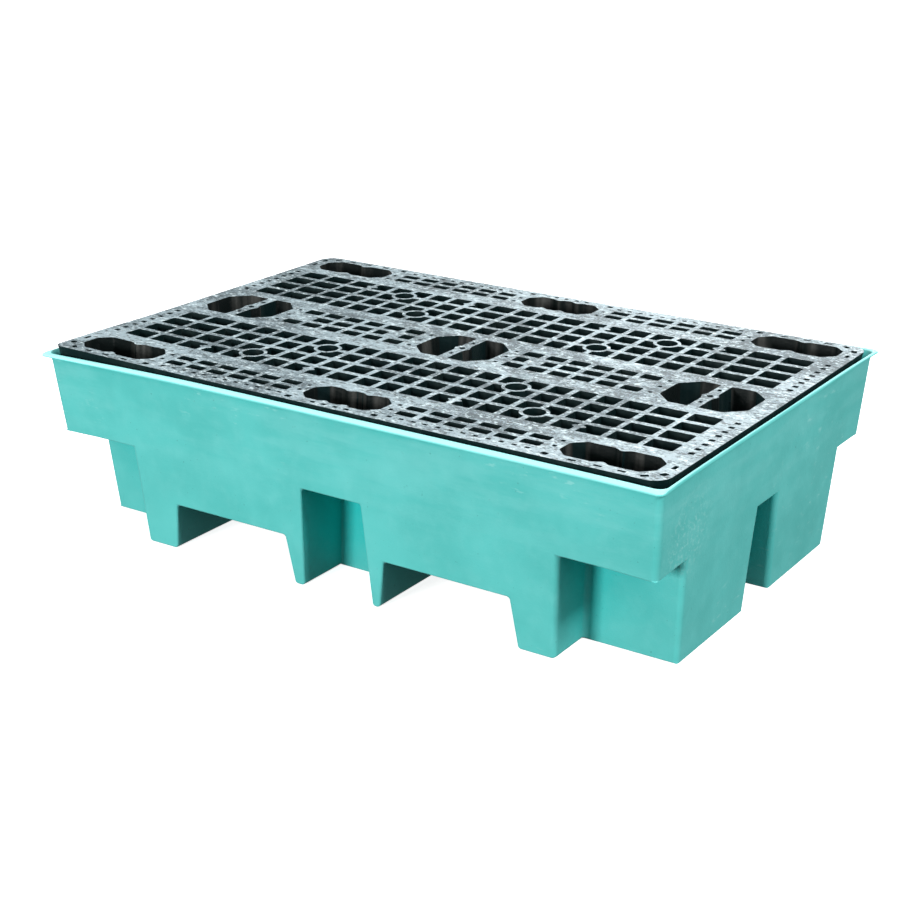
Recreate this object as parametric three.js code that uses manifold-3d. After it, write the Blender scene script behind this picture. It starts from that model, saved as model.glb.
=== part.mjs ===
// Spill containment pallet: a drafted plastic tray on hollow feet, with a loose
// nine-foot plastic pallet lying inside it as the deck.
// Units are millimetres, +Z is up and the tray stands on z = 0. X runs along the long side.
import * as THREE from 'three';
import { mergeVertices } from 'three/addons/utils/BufferGeometryUtils.js';
import Module from 'manifold-3d';

// --- overall heights ---
const DECK_TOP = 340;      // load surface above the floor
const RIM_TOP = 334;       // top of the tray's rim
const STEP_Z = 182;        // underside of the corner steps, centre notches and end slots
const TUNNEL_Z = 88;       // roof of the two fork tunnels
const SKIN = 5;            // wall of the tray

// --- tray: outer walls, given at the rim, leaning in towards the floor ---
const WALL_X = 606.5;      // half length at the rim
const WALL_Y = 410;        // half width at the rim
const FOOT_X = 582;        // half length at the floor
const FOOT_Y = 377;        // half width at the floor
const WALL_R = 13;
const LEAN_X = (WALL_X - FOOT_X) / RIM_TOP;
const LEAN_Y = (WALL_Y - FOOT_Y) / RIM_TOP;

// --- tray: rim flange ---
const RIM_X = 614;
const RIM_Y = 424;
const RIM_R = 14;
const RIM_T = 8;

// --- tray: recesses below, each given at its roof and at the floor ---
const TUNNEL = { outTop: 340.5, outFloor: 353, inTop: 102, inFloor: 89, r: 8 };
const CORNER = { xTop: 432, xFloor: 419, yTop: 302, yFloor: 287, r: 12 };
const NOTCH = { halfTop: 60, halfFloor: 71, yTop: 281, yFloor: 271, r: 8 };
const SLOT = { halfTop: 35.5, halfFloor: 50, xTop: 425, xFloor: 415, r: 8 };
const POCKET = { xTop: 50, xFloor: 60, yTop: 36, yFloor: 50, r: 8 };

// --- deck: outer size and plate ---
const DECK_X = 600;
const DECK_Y = 400;
const DECK_R = 30;
const DECK_H = 24;         // depth of the plate's edge and ribs
const DECK_LEAN = 4;       // the edge leans in by this much over its depth
const DECK_SKIN = 4;       // top skin over the pockets below
const FOOT_GAP = 0.5;      // clearance between a foot and the step it rests on
const FOOT_Z = STEP_Z + SKIN + FOOT_GAP;

// --- deck: open grid, one quarter, as centre and half size along each axis ---
const COLUMNS = [
  [23.5, 18.2], [75.1, 22.5], [125.9, 17.5], [172.4, 17.8], [218, 17.8], [264.2, 17.8],
  [310, 17.8], [356, 17.8], [405.9, 22], [464.5, 27], [525.8, 25],
];
const GRID_ROWS = [[112, 18.2], [159.5, 18.2], [206.8, 18.2], [254.4, 18.2]];
const EDGE_ROWS = [[325, 9.3], [354.2, 9.3]];
const STRIP_ROWS = [[0, 12], [35.6, 12]];
const STRIP_COLUMNS = COLUMNS.slice(2, 8);
const SHORT_STRIP_HALF = 12.5;   // half width of the strip holes cut short beside a moulding gate
const GATE_X = 149;              // gate position along the middle strip

// --- deck: drain rings standing on rib crossings ---
const RING_OUT = 25;
const RING_IN = 19;
const RINGS = [[287, 230.6], [195.2, 135.8]];

// --- deck: feet, hollow cups open at the top ---
const CUP_WALL = 3;
const CUP_FLOOR = 4;
const CUP_LEAN = 9;        // each side leans in by this much down to the foot
const CUP_Y = 341;         // centre line of the feet along the long sides
const CUP_HALF_Y = 36.5;
const CORNER_CUP = { x: 487.5, half: 80.5, cut: 20, waists: [0], waist: 11.5, depth: 9.5 };
const MID_CUP = { x: 0, half: 76.5, cut: 20, waists: [-20, 20], waist: 12, depth: 7.5 };
const SPLIT_HALF_Y = 64.5; // half width of the middle row's feet
const SPLIT_CUT = 31;      // corner cut of the middle row's feet
const SPLIT_RIB = 9.5;     // half width of the rib across them
const SPLIT_FEET = [
  { rib: 0, from: -77, to: 77 },
  { rib: 482, from: 407, to: 565 },
  { rib: -482, from: -565, to: -407 },
];
const BOSS_R = 17;         // boss in the middle of each rib

// --- deck: pockets below the solid bands ---
const BANDS = [[50.5, 90.5], [276, 312.5]];
const END_BAND = { from: 554.5, to: 589, rows: [[98, 150], [154, 210], [214, 292]] };

const wasm = await Module();
wasm.setup();
const SIDES = [-1, 1];
const BEYOND = 700;        // reach of a cutting body past the object's own walls

// ---------- solids ----------

function solid(geometry) {
  geometry.deleteAttribute('normal');
  geometry.deleteAttribute('uv');
  const merged = mergeVertices(geometry, 1e-3);
  return new wasm.Manifold(new wasm.Mesh({
    numProp: 3,
    vertProperties: new Float32Array(merged.attributes.position.array),
    triVerts: new Uint32Array(merged.index.array),
  }));
}

function geometryOf(manifold) {
  const mesh = manifold.getMesh();
  const geometry = new THREE.BufferGeometry();
  geometry.setAttribute('position', new THREE.BufferAttribute(mesh.vertProperties, 3));
  geometry.setIndex(new THREE.BufferAttribute(mesh.triVerts, 1));
  return geometry;
}

const join = (parts) => parts.reduce((sum, part) => sum.add(part));

// A quarter turn about a corner centre, from one side direction to the next.
function corner(cx, cy, radius, from, steps) {
  const points = [];
  for (let i = 0; i <= steps; i += 1) {
    const angle = from + (Math.PI / 2) * (i / steps);
    points.push(new THREE.Vector2(cx + radius * Math.cos(angle), cy + radius * Math.sin(angle)));
  }
  return points;
}

function roundedOutline(halfX, halfY, radius, steps = 4) {
  const x = halfX - radius;
  const y = halfY - radius;
  return [
    ...corner(x, y, radius, 0, steps),
    ...corner(-x, y, radius, Math.PI / 2, steps),
    ...corner(-x, -y, radius, Math.PI, steps),
    ...corner(x, -y, radius, Math.PI * 1.5, steps),
  ];
}

function prism(outline, z0, z1) {
  const shape = new THREE.Shape(outline);
  const geometry = new THREE.ExtrudeGeometry(shape, { depth: z1 - z0, bevelEnabled: false });
  return geometry.translate(0, 0, z0);
}

// Moves every vertex sideways: move(x, y, z) returns its new x and y.
function lean(geometry, move) {
  const position = geometry.attributes.position;
  for (let i = 0; i < position.count; i += 1) {
    const [x, y] = move(position.getX(i), position.getY(i), position.getZ(i));
    position.setXY(i, x, y);
  }
  return geometry;
}

function box(x0, x1, y0, y1, z0, z1) {
  const geometry = new THREE.BoxGeometry(x1 - x0, y1 - y0, z1 - z0);
  return solid(geometry.translate((x0 + x1) / 2, (y0 + y1) / 2, (z0 + z1) / 2));
}

// ---------- tray ----------

// The tray's drafted tub, its walls set in by the given distance.
function tub(inset, z0, z1) {
  const outline = roundedOutline(WALL_X - inset, WALL_Y - inset, WALL_R - inset);
  return solid(lean(prism(outline, z0, z1), (x, y, z) => [
    x - Math.sign(x) * LEAN_X * (RIM_TOP - z),
    y - Math.sign(y) * LEAN_Y * (RIM_TOP - z),
  ]));
}

const BELOW = -10;         // the cutting bodies start below the floor
const between = (top, floor, z, roof) => top + (floor - top) * ((roof - z) / roof);

// A fork tunnel right through along Y, on one side of the middle.
function tunnel(side, grow) {
  const { outTop, outFloor, inTop, inFloor, r } = TUNNEL;
  const outer = (z) => between(outTop, outFloor, z, TUNNEL_Z) + grow;
  const inner = (z) => between(inTop, inFloor, z, TUNNEL_Z) - grow;
  const roof = TUNNEL_Z + grow;
  const radius = r + grow;
  const outline = [
    new THREE.Vector2(side * outer(BELOW), BELOW),
    ...corner(outer(roof) - radius, roof - radius, radius, 0, 3).map((p) => p.setX(side * p.x)),
    ...corner(inner(roof) + radius, roof - radius, radius, Math.PI / 2, 3)
      .map((p) => p.setX(side * p.x)),
    new THREE.Vector2(side * inner(BELOW), BELOW),
  ];
  const geometry = prism(outline, -BEYOND, BEYOND);
  return solid(geometry.rotateX(Math.PI / 2));
}

// A recess with a rounded plan whose near walls spread towards the floor.
function recess(outline, grow, spread) {
  return solid(lean(prism(outline, BELOW, STEP_Z + grow), (x, y, z) => {
    const [dx, dy] = spread((STEP_Z - z) / STEP_Z);
    return [x + dx * Math.sign(x), y + dy * Math.sign(y)];
  }));
}

function cornerStep(sideX, sideY, grow) {
  const x = CORNER.xTop - grow;
  const y = CORNER.yTop - grow;
  const r = CORNER.r + grow;
  const outline = [
    ...corner(x + r, y + r, r, Math.PI, 3),
    new THREE.Vector2(BEYOND, y),
    new THREE.Vector2(BEYOND, BEYOND),
    new THREE.Vector2(x, BEYOND),
  ].map((p) => new THREE.Vector2(sideX * p.x, sideY * p.y));
  const dx = CORNER.xFloor - CORNER.xTop;
  const dy = CORNER.yFloor - CORNER.yTop;
  return recess(outline, grow, (t) => [dx * t, dy * t]);
}

// A notch in the middle of a long side.
function centreNotch(sideY, grow) {
  const x = NOTCH.halfTop + grow;
  const y = NOTCH.yTop - grow;
  const r = NOTCH.r + grow;
  const outline = [
    ...corner(-x + r, y + r, r, Math.PI, 3),
    ...corner(x - r, y + r, r, Math.PI * 1.5, 3),
    new THREE.Vector2(x, BEYOND),
    new THREE.Vector2(-x, BEYOND),
  ].map((p) => new THREE.Vector2(p.x, sideY * p.y));
  const dx = NOTCH.halfFloor - NOTCH.halfTop;
  const dy = NOTCH.yFloor - NOTCH.yTop;
  return recess(outline, grow, (t) => [dx * t, dy * t]);
}

// A narrow slot in the middle of a short end.
function endSlot(sideX, grow) {
  const y = SLOT.halfTop + grow;
  const x = SLOT.xTop - grow;
  const r = SLOT.r + grow;
  const outline = [
    ...corner(x + r, y - r, r, Math.PI / 2, 3),
    ...corner(x + r, -y + r, r, Math.PI, 3),
    new THREE.Vector2(BEYOND, -y),
    new THREE.Vector2(BEYOND, y),
  ].map((p) => new THREE.Vector2(sideX * p.x, p.y));
  const dx = SLOT.xFloor - SLOT.xTop;
  const dy = SLOT.halfFloor - SLOT.halfTop;
  return recess(outline, grow, (t) => [dx * t, dy * t]);
}

// The pocket under the middle of the tray that carries the centre foot.
function centrePocket(grow) {
  const outline = roundedOutline(POCKET.xTop + grow, POCKET.yTop + grow, POCKET.r + grow, 3);
  const dx = POCKET.xFloor - POCKET.xTop;
  const dy = POCKET.yFloor - POCKET.yTop;
  return recess(outline, grow, (t) => [dx * t, dy * t]);
}

function recesses(grow) {
  const list = [centrePocket(grow)];
  SIDES.forEach((side) => {
    list.push(tunnel(side, grow), centreNotch(side, grow), endSlot(side, grow));
    SIDES.forEach((sideY) => list.push(cornerStep(side, sideY, grow)));
  });
  return join(list);
}

function tray() {
  const rim = solid(prism(roundedOutline(RIM_X, RIM_Y, RIM_R, 5), RIM_TOP - RIM_T, RIM_TOP));
  const well = tub(SKIN, SKIN, RIM_TOP + SKIN).subtract(recesses(SKIN));
  return tub(0, 0, RIM_TOP).add(rim).subtract(recesses(0)).subtract(well);
}

// ---------- deck ----------

const PLATE_BOTTOM = DECK_TOP - DECK_H;

// A rectangular hole through the plate.
function hole(x, y, halfX, halfY) {
  return box(x - halfX, x + halfX, y - halfY, y + halfY, PLATE_BOTTOM - 1, DECK_TOP + 1);
}

// Holes of one band, mirrored to both halves of the length and of the width.
function bandHoles(columns, rows) {
  const holes = [];
  rows.forEach(([y, halfY]) => SIDES.forEach((sideY) => {
    columns.forEach(([x, halfX]) => SIDES.forEach((side) => {
      holes.push(hole(side * x, sideY * y, halfX, halfY));
    }));
  }));
  return holes;
}

// Middle row of the strip: the outermost hole is closed, and two are cut short by a gate.
function middleHoles() {
  const holes = [];
  STRIP_COLUMNS.slice(0, -1).forEach(([x, halfX]) => {
    const near = Math.abs(x - GATE_X) < 30;
    const cut = near ? Math.sign(x - GATE_X) * (halfX - SHORT_STRIP_HALF) : 0;
    SIDES.forEach((side) => {
      holes.push(hole(side * (x + cut), 0, near ? SHORT_STRIP_HALF : halfX, STRIP_ROWS[0][1]));
    });
  });
  return holes;
}

function plate() {
  const holes = [
    ...bandHoles(COLUMNS, GRID_ROWS),
    ...bandHoles(STRIP_COLUMNS, EDGE_ROWS),
    ...bandHoles(STRIP_COLUMNS, STRIP_ROWS.slice(1)),
    ...middleHoles(),
  ];
  const outline = roundedOutline(DECK_X, DECK_Y, DECK_R, 6);
  const slab = solid(lean(prism(outline, PLATE_BOTTOM, DECK_TOP), (x, y, z) => {
    const inset = (DECK_LEAN * (DECK_TOP - z)) / DECK_H;
    return [x - Math.sign(x) * inset, y - Math.sign(y) * inset];
  }));
  return slab.subtract(join(holes));
}

// Pockets that hollow out the solid bands from below.
function pockets() {
  const z0 = PLATE_BOTTOM - 1;
  const z1 = DECK_TOP - DECK_SKIN;
  const list = [];
  SIDES.forEach((side) => SIDES.forEach((sideY) => {
    BANDS.forEach(([near, far]) => {
      for (let i = 0; i + 1 < COLUMNS.length; i += 2) {
        const from = side * (COLUMNS[i][0] - COLUMNS[i][1]);
        const to = side * (COLUMNS[i + 1][0] + COLUMNS[i + 1][1]);
        const ys = [sideY * near, sideY * far];
        list.push(box(Math.min(from, to), Math.max(from, to), Math.min(...ys), Math.max(...ys), z0, z1));
      }
    });
    END_BAND.rows.forEach(([near, far]) => {
      const xs = [side * END_BAND.from, side * END_BAND.to];
      const ys = [sideY * near, sideY * far];
      list.push(box(Math.min(...xs), Math.max(...xs), Math.min(...ys), Math.max(...ys), z0, z1));
    });
  }));
  return join(list);
}

// Outline of a foot made of lobes side by side, with a waist on both sides between them.
function lobedOutline({ half, cut, waists, waist, depth }) {
  const side = [[half, CUP_HALF_Y - cut], [half - cut, CUP_HALF_Y]];
  [...waists].reverse().forEach((x) => {
    side.push([x + waist, CUP_HALF_Y], [x, CUP_HALF_Y - depth], [x - waist, CUP_HALF_Y]);
  });
  side.push([cut - half, CUP_HALF_Y], [-half, CUP_HALF_Y - cut]);
  const back = side.map(([x, y]) => [-x, -y]);
  return [...side, ...back].map(([x, y]) => new THREE.Vector2(x, y));
}

// Outline of half a split foot: the rib's side is straight, the far side has cut corners.
function splitOutline(half, sideX) {
  return [
    [-half, -SPLIT_HALF_Y], [half - SPLIT_CUT, -SPLIT_HALF_Y], [half, SPLIT_CUT - SPLIT_HALF_Y],
    [half, SPLIT_HALF_Y - SPLIT_CUT], [half - SPLIT_CUT, SPLIT_HALF_Y], [-half, SPLIT_HALF_Y],
  ].map(([x, y]) => new THREE.Vector2(sideX * x, y));
}

// Every cup as its centre, its outline about that centre and its half sizes.
function cups() {
  const list = [];
  SIDES.forEach((sideY) => {
    [-CORNER_CUP.x, MID_CUP.x, CORNER_CUP.x].forEach((x) => {
      const kind = x === MID_CUP.x ? MID_CUP : CORNER_CUP;
      list.push({ x, y: sideY * CUP_Y, half: kind.half, halfY: CUP_HALF_Y, outline: lobedOutline(kind) });
    });
  });
  SPLIT_FEET.forEach(({ rib, from, to }) => {
    [[from, rib - SPLIT_RIB, -1], [rib + SPLIT_RIB, to, 1]].forEach(([x0, x1, sideX]) => {
      const half = (x1 - x0) / 2;
      list.push({ x: (x0 + x1) / 2, y: 0, half, halfY: SPLIT_HALF_Y, outline: splitOutline(half, sideX) });
    });
  });
  return list;
}

// A cup's body between two heights; wall is added all round, and the sides lean in going down.
function cupBody(cup, wall, z0, z1) {
  const leanPerMm = CUP_LEAN / (DECK_TOP - FOOT_Z);
  return solid(lean(prism(cup.outline, z0, z1), (x, y, z) => {
    const grow = wall - leanPerMm * (DECK_TOP - z);
    return [cup.x + x * (1 + grow / cup.half), cup.y + y * (1 + grow / cup.halfY)];
  }));
}

function disc(x, y, radius, steps, z0, z1) {
  const geometry = new THREE.CylinderGeometry(radius, radius, z1 - z0, steps);
  return solid(geometry.rotateX(Math.PI / 2).translate(x, y, (z0 + z1) / 2));
}

function deck() {
  const list = cups();
  const feet = join(list.map((cup) => cupBody(cup, CUP_WALL, FOOT_Z, DECK_TOP - DECK_SKIN / 2)));
  const hollows = join(list.map((cup) => cupBody(cup, 0, FOOT_Z + CUP_FLOOR, DECK_TOP + 1)));
  const rings = [];
  const drains = [];
  RINGS.forEach(([x, y]) => SIDES.forEach((sideX) => SIDES.forEach((sideY) => {
    rings.push(disc(sideX * x, sideY * y, RING_OUT, 16, PLATE_BOTTOM, DECK_TOP));
    drains.push(disc(sideX * x, sideY * y, RING_IN, 16, PLATE_BOTTOM - 1, DECK_TOP + 1));
  })));
  const bosses = SPLIT_FEET.map(({ rib }) => disc(rib, 0, BOSS_R, 16, PLATE_BOTTOM, DECK_TOP));
  return plate().subtract(pockets()).add(feet).add(join(rings)).subtract(join(drains))
    .subtract(hollows).add(join(bosses));
}

// ---------- scene ----------

const pallet = new THREE.Group();

const trayMesh = new THREE.Mesh(
  geometryOf(tray()),
  new THREE.MeshStandardMaterial({ color: 0x5cc9c0, roughness: 0.45, metalness: 0 }),
);
trayMesh.name = 'sump_tray';
pallet.add(trayMesh);

const deckMesh = new THREE.Mesh(
  geometryOf(deck()),
  new THREE.MeshStandardMaterial({ color: 0x1c2021, roughness: 0.5, metalness: 0 }),
);
deckMesh.name = 'deck_pallet';
pallet.add(deckMesh);

export default pallet;
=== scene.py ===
"""Looks of a spill containment pallet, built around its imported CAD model.

A teal rotomoulded tray with a rolled rim, and a loose black nine-foot plastic pallet lying in it.
The shape code works in millimetres, and a finished mesh is scaled to metres.
"""

import math
import random

import bmesh
import bpy
from mathutils import Matrix, Vector, noise
from mathutils.geometry import delaunay_2d_cdt


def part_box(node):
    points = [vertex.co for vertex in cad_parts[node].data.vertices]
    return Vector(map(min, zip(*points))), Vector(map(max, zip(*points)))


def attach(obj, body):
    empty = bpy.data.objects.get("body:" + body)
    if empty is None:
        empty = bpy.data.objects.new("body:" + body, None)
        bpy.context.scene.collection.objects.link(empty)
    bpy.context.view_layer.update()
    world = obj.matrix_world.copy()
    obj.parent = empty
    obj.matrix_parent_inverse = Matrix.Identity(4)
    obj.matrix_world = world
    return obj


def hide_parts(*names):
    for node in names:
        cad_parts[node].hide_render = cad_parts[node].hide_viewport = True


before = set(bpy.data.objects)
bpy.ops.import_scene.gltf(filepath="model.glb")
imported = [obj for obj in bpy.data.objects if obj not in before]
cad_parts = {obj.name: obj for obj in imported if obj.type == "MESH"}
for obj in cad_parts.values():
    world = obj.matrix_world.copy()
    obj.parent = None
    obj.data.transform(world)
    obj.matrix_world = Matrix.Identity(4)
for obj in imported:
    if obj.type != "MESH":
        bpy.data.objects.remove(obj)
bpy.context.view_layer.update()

MM = 0.001
SIDES = (-1, 1)
FAR = 700.0          # reach of a cutting body past the object
BELOW = 10.0         # cutting bodies start this far below the floor

_, tray_high = (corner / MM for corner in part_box("sump_tray"))
deck_low, deck_high = (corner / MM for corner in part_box("deck_pallet"))

# --- tray ---
RIM_X, RIM_Y, RIM_TOP = tray_high
RIM_R = 14.0
WALL_X = RIM_X - 7.5     # the outer walls, as if they reached the rim's top
WALL_Y = RIM_Y - 14.0
WALL_R = 13.0
FOOT_X = WALL_X - 24.5   # the outer walls at the floor
FOOT_Y = WALL_Y - 33.0
SKIN = 5.0
TUNNEL_Z = 88.0
STEP_Z = deck_low.z - SKIN - 0.5    # roof of the recesses that carry the deck's feet
RIM_START = 16.0     # the rim's own rings begin this far below its top
LEVEL_R = 2.5        # rounding of the edges that run along the walls
SIDE_R = 7.0         # rounding of the edges that run into the tray
LEG_R = 10.0         # rounding of the upright edges of the wide legs
TUNNEL_R = 4.0       # rounding of the upright edges beside tunnels and notches
CORNER_X = 540.0     # the upright edges of the tray's own corners lie past these
CORNER_Y = 350.0
LEG_X = 380.0        # the upright edges of the wide legs lie past this
SLICE = 45.0         # the walls are cut this finely, so that they can bend
LIP = 6.9            # thickness of the rim's rolled edge
FILLET_STEPS = 3     # steps round the hollow between the wall and the lip
WALL_SLOT = 0        # the tray's materials
RIM_SLOT = 1
RIM_LOW = 1.0        # how far the whole rim has sunk
RIM_DIP = 5.5        # how much further one end of it has
FOOT_SKEW = 5.0      # how much further out one end stands at the floor than it should
FOOT_TUCK = 2.0      # how much further in the other end stands
NOTCH_SHIFT = 2.5    # how far the middle notches are off the middle
CORNER_DROOP = 2.2   # how far the overhangs over the corner steps hang
SIDE_BOW = 4.5       # how far the long walls bow in at the rim
END_BOW = 3.6        # how far the lip bows in along the short walls
LIP_THINNING = 0.4   # how much thinner the lip is at the sunk end and at one far corner
WAVE = 0.9           # how far the faces wander in and out
WAVE_SCALE = 0.006

# The recesses under the tray where x and y are positive: (x0, x1, y0, y1) at the floor, the same at
# the roof, and the roof's height. The centre pit stands alone, and the rest are mirrored.
CENTRE_PIT = (-60, 60, -50, 50), (-50, 50, -36, 36), STEP_Z
TUNNEL = (89, 353, -FAR, FAR), (102, 340.5, -FAR, FAR), TUNNEL_Z
NOTCH = ((NOTCH_SHIFT - 71, NOTCH_SHIFT + 71, 271, FAR),
         (NOTCH_SHIFT - 60, NOTCH_SHIFT + 60, 281, FAR), STEP_Z + 1.5)
END_SLOT = (415, FAR, -50, 50), (425, FAR, -35.5, 35.5), STEP_Z
CORNER_STEP = (422, FAR, 287, FAR), (432, FAR, 302, FAR), STEP_Z

# --- deck ---
LIFT = 2.0           # how far one corner of the plate curls up
DECK_X, DECK_Y = deck_high.xy
DECK_TOP = deck_high.z - LIFT
DECK_R = 30.0
SHARP_R = 14.0       # the corner that curls up is less rounded
PLATE_H = 24.0
PLATE_LEAN = 4.0     # the plate's edge leans in by this much over its height
DECK_SKIN = 4.0
FOOT_Z = deck_low.z
CUP_FLOOR = 4.0
CUP_WALL = 3.0
CUP_LEAN = 9.0       # a foot's walls lean in by this much from the top to the floor of the foot
CUP_X = 487.5        # middle of the corner feet
CUP_Y = 341.0
CUP_HALF_Y = 36.5
CORNER_HALF = 81.5   # half length of a corner foot, and of the foot midway along a long side
MIDDLE_HALF = 77.5
SPLIT_HALF_Y = 64.5  # half width of the feet on the middle line, which a rib splits
SPLIT_RIB = 9.5      # half width of that rib
SPLIT_REACH = 79     # how far such a foot reaches from its rib's middle
CENTRE_REACH = 77    # the same for the centre foot
END_SHIFT = 4        # an end foot reaches this much more outward, and this much less inward
SAG_X = 0.8          # the plate hangs this much lower in the middle than at its ends
SAG_Y = 0.8
DECK_SHIFT = Vector((1.2, 0.2, 0.0))    # the deck lies loose, a little off the middle
FOOT_SLOT = 1        # the deck's second material, inside its feet

# Openings of the grid: the middle and the half width of each column and row.
COLUMNS = [(23.5, 18.2), (75.1, 22.5), (125.9, 17.5), (172.4, 17.8), (218, 17.8), (264.2, 17.8),
           (310, 17.8), (356, 17.8), (405.9, 22), (464.5, 27), (525.8, 25)]
GRID_ROWS = [(112, 18.2), (159.5, 18.2), (206.8, 18.2), (254.4, 18.2)]
EDGE_ROWS = [(325, 9.3), (354.2, 9.3)]
STRIP_ROWS = [(0, 12), (35.6, 12)]
STRIP_COLUMNS = COLUMNS[2:8]
SHORT_STRIP_HALF = 12.5    # an opening beside a gate pad on the middle line is shorter
HOLE_R = 2.6
GATE_XS = (149, 379)
GATE_YS = (0, 250)
PAD_X = 11.5
PAD_Y = 8.0
RINGS = [(287, 230.6), (195.2, 135.8)]
RING_OUT = 25.0
RING_IN = 19.0
SPLIT_RIBS = (-482, 0, 482)
PIN_DRAIN = 3.8      # half size of the smallest square drain holes
BANDS = [(50.5, 90.5), (276, 312.5)]    # y of the pockets below the long solid bands
END_BAND = (554.5, 589, ((98, 150), (154, 210), (214, 292)))    # x, x and the ys of the end pockets
FILL_PITCH = 46      # spacing of the plan's extra points, which let the plate sag smoothly


# ---------- mesh helpers ----------

def new_object(name, mesh):
    made = bpy.data.objects.new(name, mesh)
    bpy.context.scene.collection.objects.link(made)
    return made


def object_from(name, work):
    """An object holding a bmesh's contents."""
    mesh = bpy.data.meshes.new(name)
    work.to_mesh(mesh)
    work.free()
    return new_object(name, mesh)


def bake_modifiers(made):
    graph = bpy.context.evaluated_depsgraph_get()
    mesh = bpy.data.meshes.new_from_object(made.evaluated_get(graph))
    made.modifiers.clear()
    made.data = mesh


def discard(made):
    bpy.data.objects.remove(made, do_unlink=True)


def smoothstep(low, high, value):
    t = min(max((value - low) / (high - low), 0.0), 1.0)
    return t * t * (3 - 2 * t)


# ---------- tray ----------

def add_block(work, lower, upper, z0, z1):
    """A six-sided block; lower and upper are its (x0, x1, y0, y1) at the heights z0 and z1."""
    corners = []
    for (x0, x1, y0, y1), z in ((lower, z0), (upper, z1)):
        plan = ((x0, y0, z), (x1, y0, z), (x1, y1, z), (x0, y1, z))
        corners += [work.verts.new(point) for point in plan]
    a, b, c, d, e, f, g, h = corners
    sides = (a, b, f, e), (b, c, g, f), (c, d, h, g), (d, a, e, h)
    for face in ((d, c, b, a), (e, f, g, h), *sides):
        work.faces.new(face)


def mirrored(plan, side_x, side_y):
    x0, x1, y0, y1 = plan
    xs = sorted((side_x * x0, side_x * x1))
    ys = sorted((side_y * y0, side_y * y1))
    return (*xs, *ys)


def recesses():
    """Every recess under the tray: its plan at the floor, its plan at its roof, its height."""
    found = [CENTRE_PIT]
    for side in SIDES:
        kinds = [(TUNNEL, side, 1), (NOTCH, 1, side), (END_SLOT, side, 1)]
        kinds += [(CORNER_STEP, side, other) for other in SIDES]
        for (floor, roof, z), side_x, side_y in kinds:
            found.append((mirrored(floor, side_x, side_y), mirrored(roof, side_x, side_y), z))
    return found


def wall_half(z):
    """Half sizes of the tray's outer walls at a height."""
    t = 1 - z / RIM_TOP
    return WALL_X + (FOOT_X - WALL_X) * t, WALL_Y + (FOOT_Y - WALL_Y) * t


def sharp_tray():
    """The tray's outside with sharp edges: a drafted block, less its recesses."""
    top = RIM_TOP - RIM_START
    work = bmesh.new()
    (x0, y0), (x1, y1) = wall_half(0), wall_half(top)
    at_floor = (FOOT_TUCK - x0, x0 + FOOT_SKEW, -y0, y0)
    add_block(work, at_floor, (-x1, x1, -y1, y1), 0, top)
    body = object_from("tray_body", work)
    work = bmesh.new()
    for floor, roof, z in recesses():
        spread = [f + (f - r) * BELOW / z for f, r in zip(floor, roof)]
        add_block(work, spread, roof, -BELOW, z)
    cutter = object_from("tray_cutter", work)
    cut = body.modifiers.new("cut", "BOOLEAN")
    cut.operation, cut.solver, cut.object = "DIFFERENCE", "EXACT", cutter
    bake_modifiers(body)
    discard(cutter)
    return body


def edge_radius(edge):
    """How far an edge of the sharp tray is rounded."""
    a, b = (vertex.co for vertex in edge.verts)
    top = RIM_TOP - RIM_START
    if abs(a.z - top) < 0.1 and abs(b.z - top) < 0.1:
        return 0.0
    if edge.calc_face_angle(0.0) < math.radians(5):
        return 0.0
    middle = (a + b) / 2
    upright = abs(a.z - b.z) > 0.7 * (a - b).length
    if upright:
        at_corner = abs(middle.x) > CORNER_X and abs(middle.y) > CORNER_Y
        if at_corner and max(a.z, b.z) > top - 1:
            return WALL_R
        return LEG_R if abs(middle.x) > LEG_X else TUNNEL_R
    along_wall = abs(a.x - b.x) > abs(a.y - b.y) or abs(middle.x) > CORNER_X
    return LEVEL_R if along_wall else SIDE_R


def rounded_tray():
    """The tray's outer skin with rounded edges, open at the top."""
    body = sharp_tray()
    work = bmesh.new()
    work.from_mesh(body.data)
    bmesh.ops.remove_doubles(work, verts=work.verts, dist=0.01)
    bmesh.ops.dissolve_limit(work, angle_limit=math.radians(0.5),
                             verts=work.verts, edges=work.edges)
    weights = work.edges.layers.float.new("bevel_weight_edge")
    for edge in work.edges:
        edge[weights] = edge_radius(edge) / WALL_R
    work.to_mesh(body.data)
    work.free()
    bevel = body.modifiers.new("round", "BEVEL")
    bevel.width, bevel.segments, bevel.limit_method = WALL_R, 5, "WEIGHT"
    bevel.use_clamp_overlap = False
    bake_modifiers(body)
    return body


def slice_grid(work, top):
    """Cuts the tray's skin along evenly spaced planes, so that it can bend smoothly."""
    off_centre = 0.37      # keeps the planes off the middle lines, where vertices already lie
    for axis, low, high in ((0, -WALL_X, WALL_X), (1, -WALL_Y, WALL_Y), (2, 0, top)):
        normal = Vector((0, 0, 0))
        normal[axis] = 1
        count = int((high - low) / SLICE)
        for i in range(1, count):
            at = low + (high - low) * i / count + off_centre
            everything = work.verts[:] + work.edges[:] + work.faces[:]
            bmesh.ops.bisect_plane(work, geom=everything, dist=0.02,
                                   plane_co=normal * at, plane_no=normal)


def boundary_loop(work, start):
    """The vertices round an open edge, in order from one of them."""
    loop = [start]
    previous = None
    while True:
        here = loop[-1]
        ahead = [edge.other_vert(here) for edge in here.link_edges if edge.is_boundary]
        step = ahead[0] if ahead[0] is not previous else ahead[1]
        if step is start:
            return loop
        previous = here
        loop.append(step)


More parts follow.
